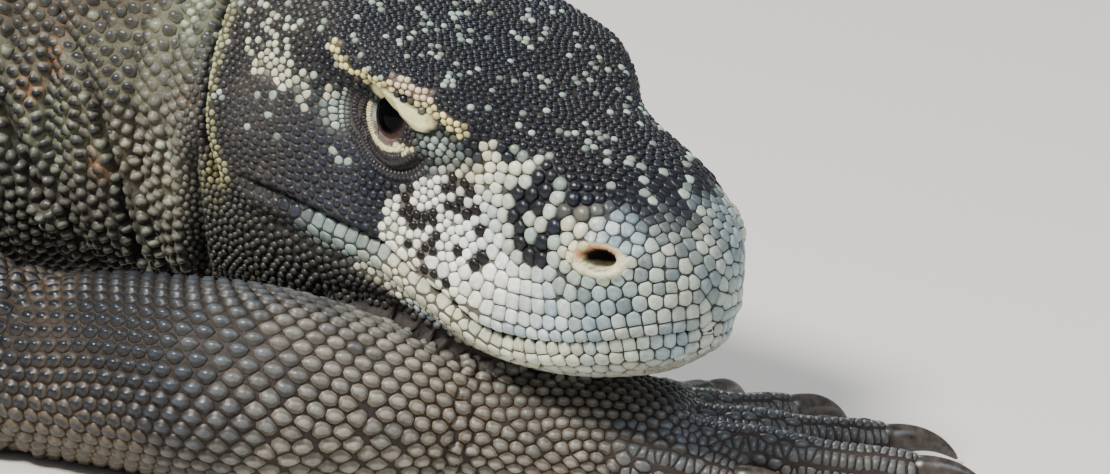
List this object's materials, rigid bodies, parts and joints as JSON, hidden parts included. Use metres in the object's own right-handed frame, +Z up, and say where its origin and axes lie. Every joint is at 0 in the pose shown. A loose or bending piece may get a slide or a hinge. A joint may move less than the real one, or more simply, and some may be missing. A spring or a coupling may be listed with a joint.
{
  "type": "komodo dragon",
  "caption": "Life-size reptile model lying at rest, head turned to one side with the chin over one forefoot, limbs spread and the tail in a gentle S.",
  "frame": {"origin": "on the flat of the belly that rests on the floor, on the trunk's midline", "axes": "+X towards the head along the trunk, +Y to the animal's left, +Z up; the floor is z = 0"},
  "size_m": [2.2885, 0.993, 0.1828],
  "materials": {
    "skin": "dry, dark grey-brown scaled hide",
    "face": "slate-blue beads with pale specks, pale plates towards the lips",
    "eye": "wet, very dark brown",
    "claw": "horn, dark grey-black with a dull shine"
  },
  "bodies": {
    "root": {"head": "face", "lower_jaw": "face", "eye_left": "eye", "eye_right": "eye", "neck": "skin", "trunk_front": "skin", "trunk_rear": "skin", "tail_1": "skin", "tail_2": "skin", "tail_3": "skin", "tail_4": "skin", "tail_5": "skin", "upper_arm_left": "skin", "forearm_left": "skin", "hand_left": "skin", "upper_arm_right": "skin", "forearm_right": "skin", "hand_right": "skin", "thigh_left": "skin", "shin_left": "skin", "foot_left": "skin", "thigh_right": "skin", "shin_right": "skin", "foot_right": "skin", "finger_left_claw_1": "claw", "finger_left_claw_2": "claw", "finger_left_claw_3": "claw", "finger_left_claw_4": "claw", "finger_left_claw_5": "claw", "finger_right_claw_1": "claw", "finger_right_claw_2": "claw", "finger_right_claw_3": "claw", "finger_right_claw_4": "claw", "finger_right_claw_5": "claw", "toe_left_claw_1": "claw", "toe_left_claw_2": "claw", "toe_left_claw_3": "claw", "toe_left_claw_4": "claw", "toe_left_claw_5": "claw", "toe_right_claw_1": "claw", "toe_right_claw_2": "claw", "toe_right_claw_3": "claw", "toe_right_claw_4": "claw", "toe_right_claw_5": "claw"}
  },
  "joints": []
}
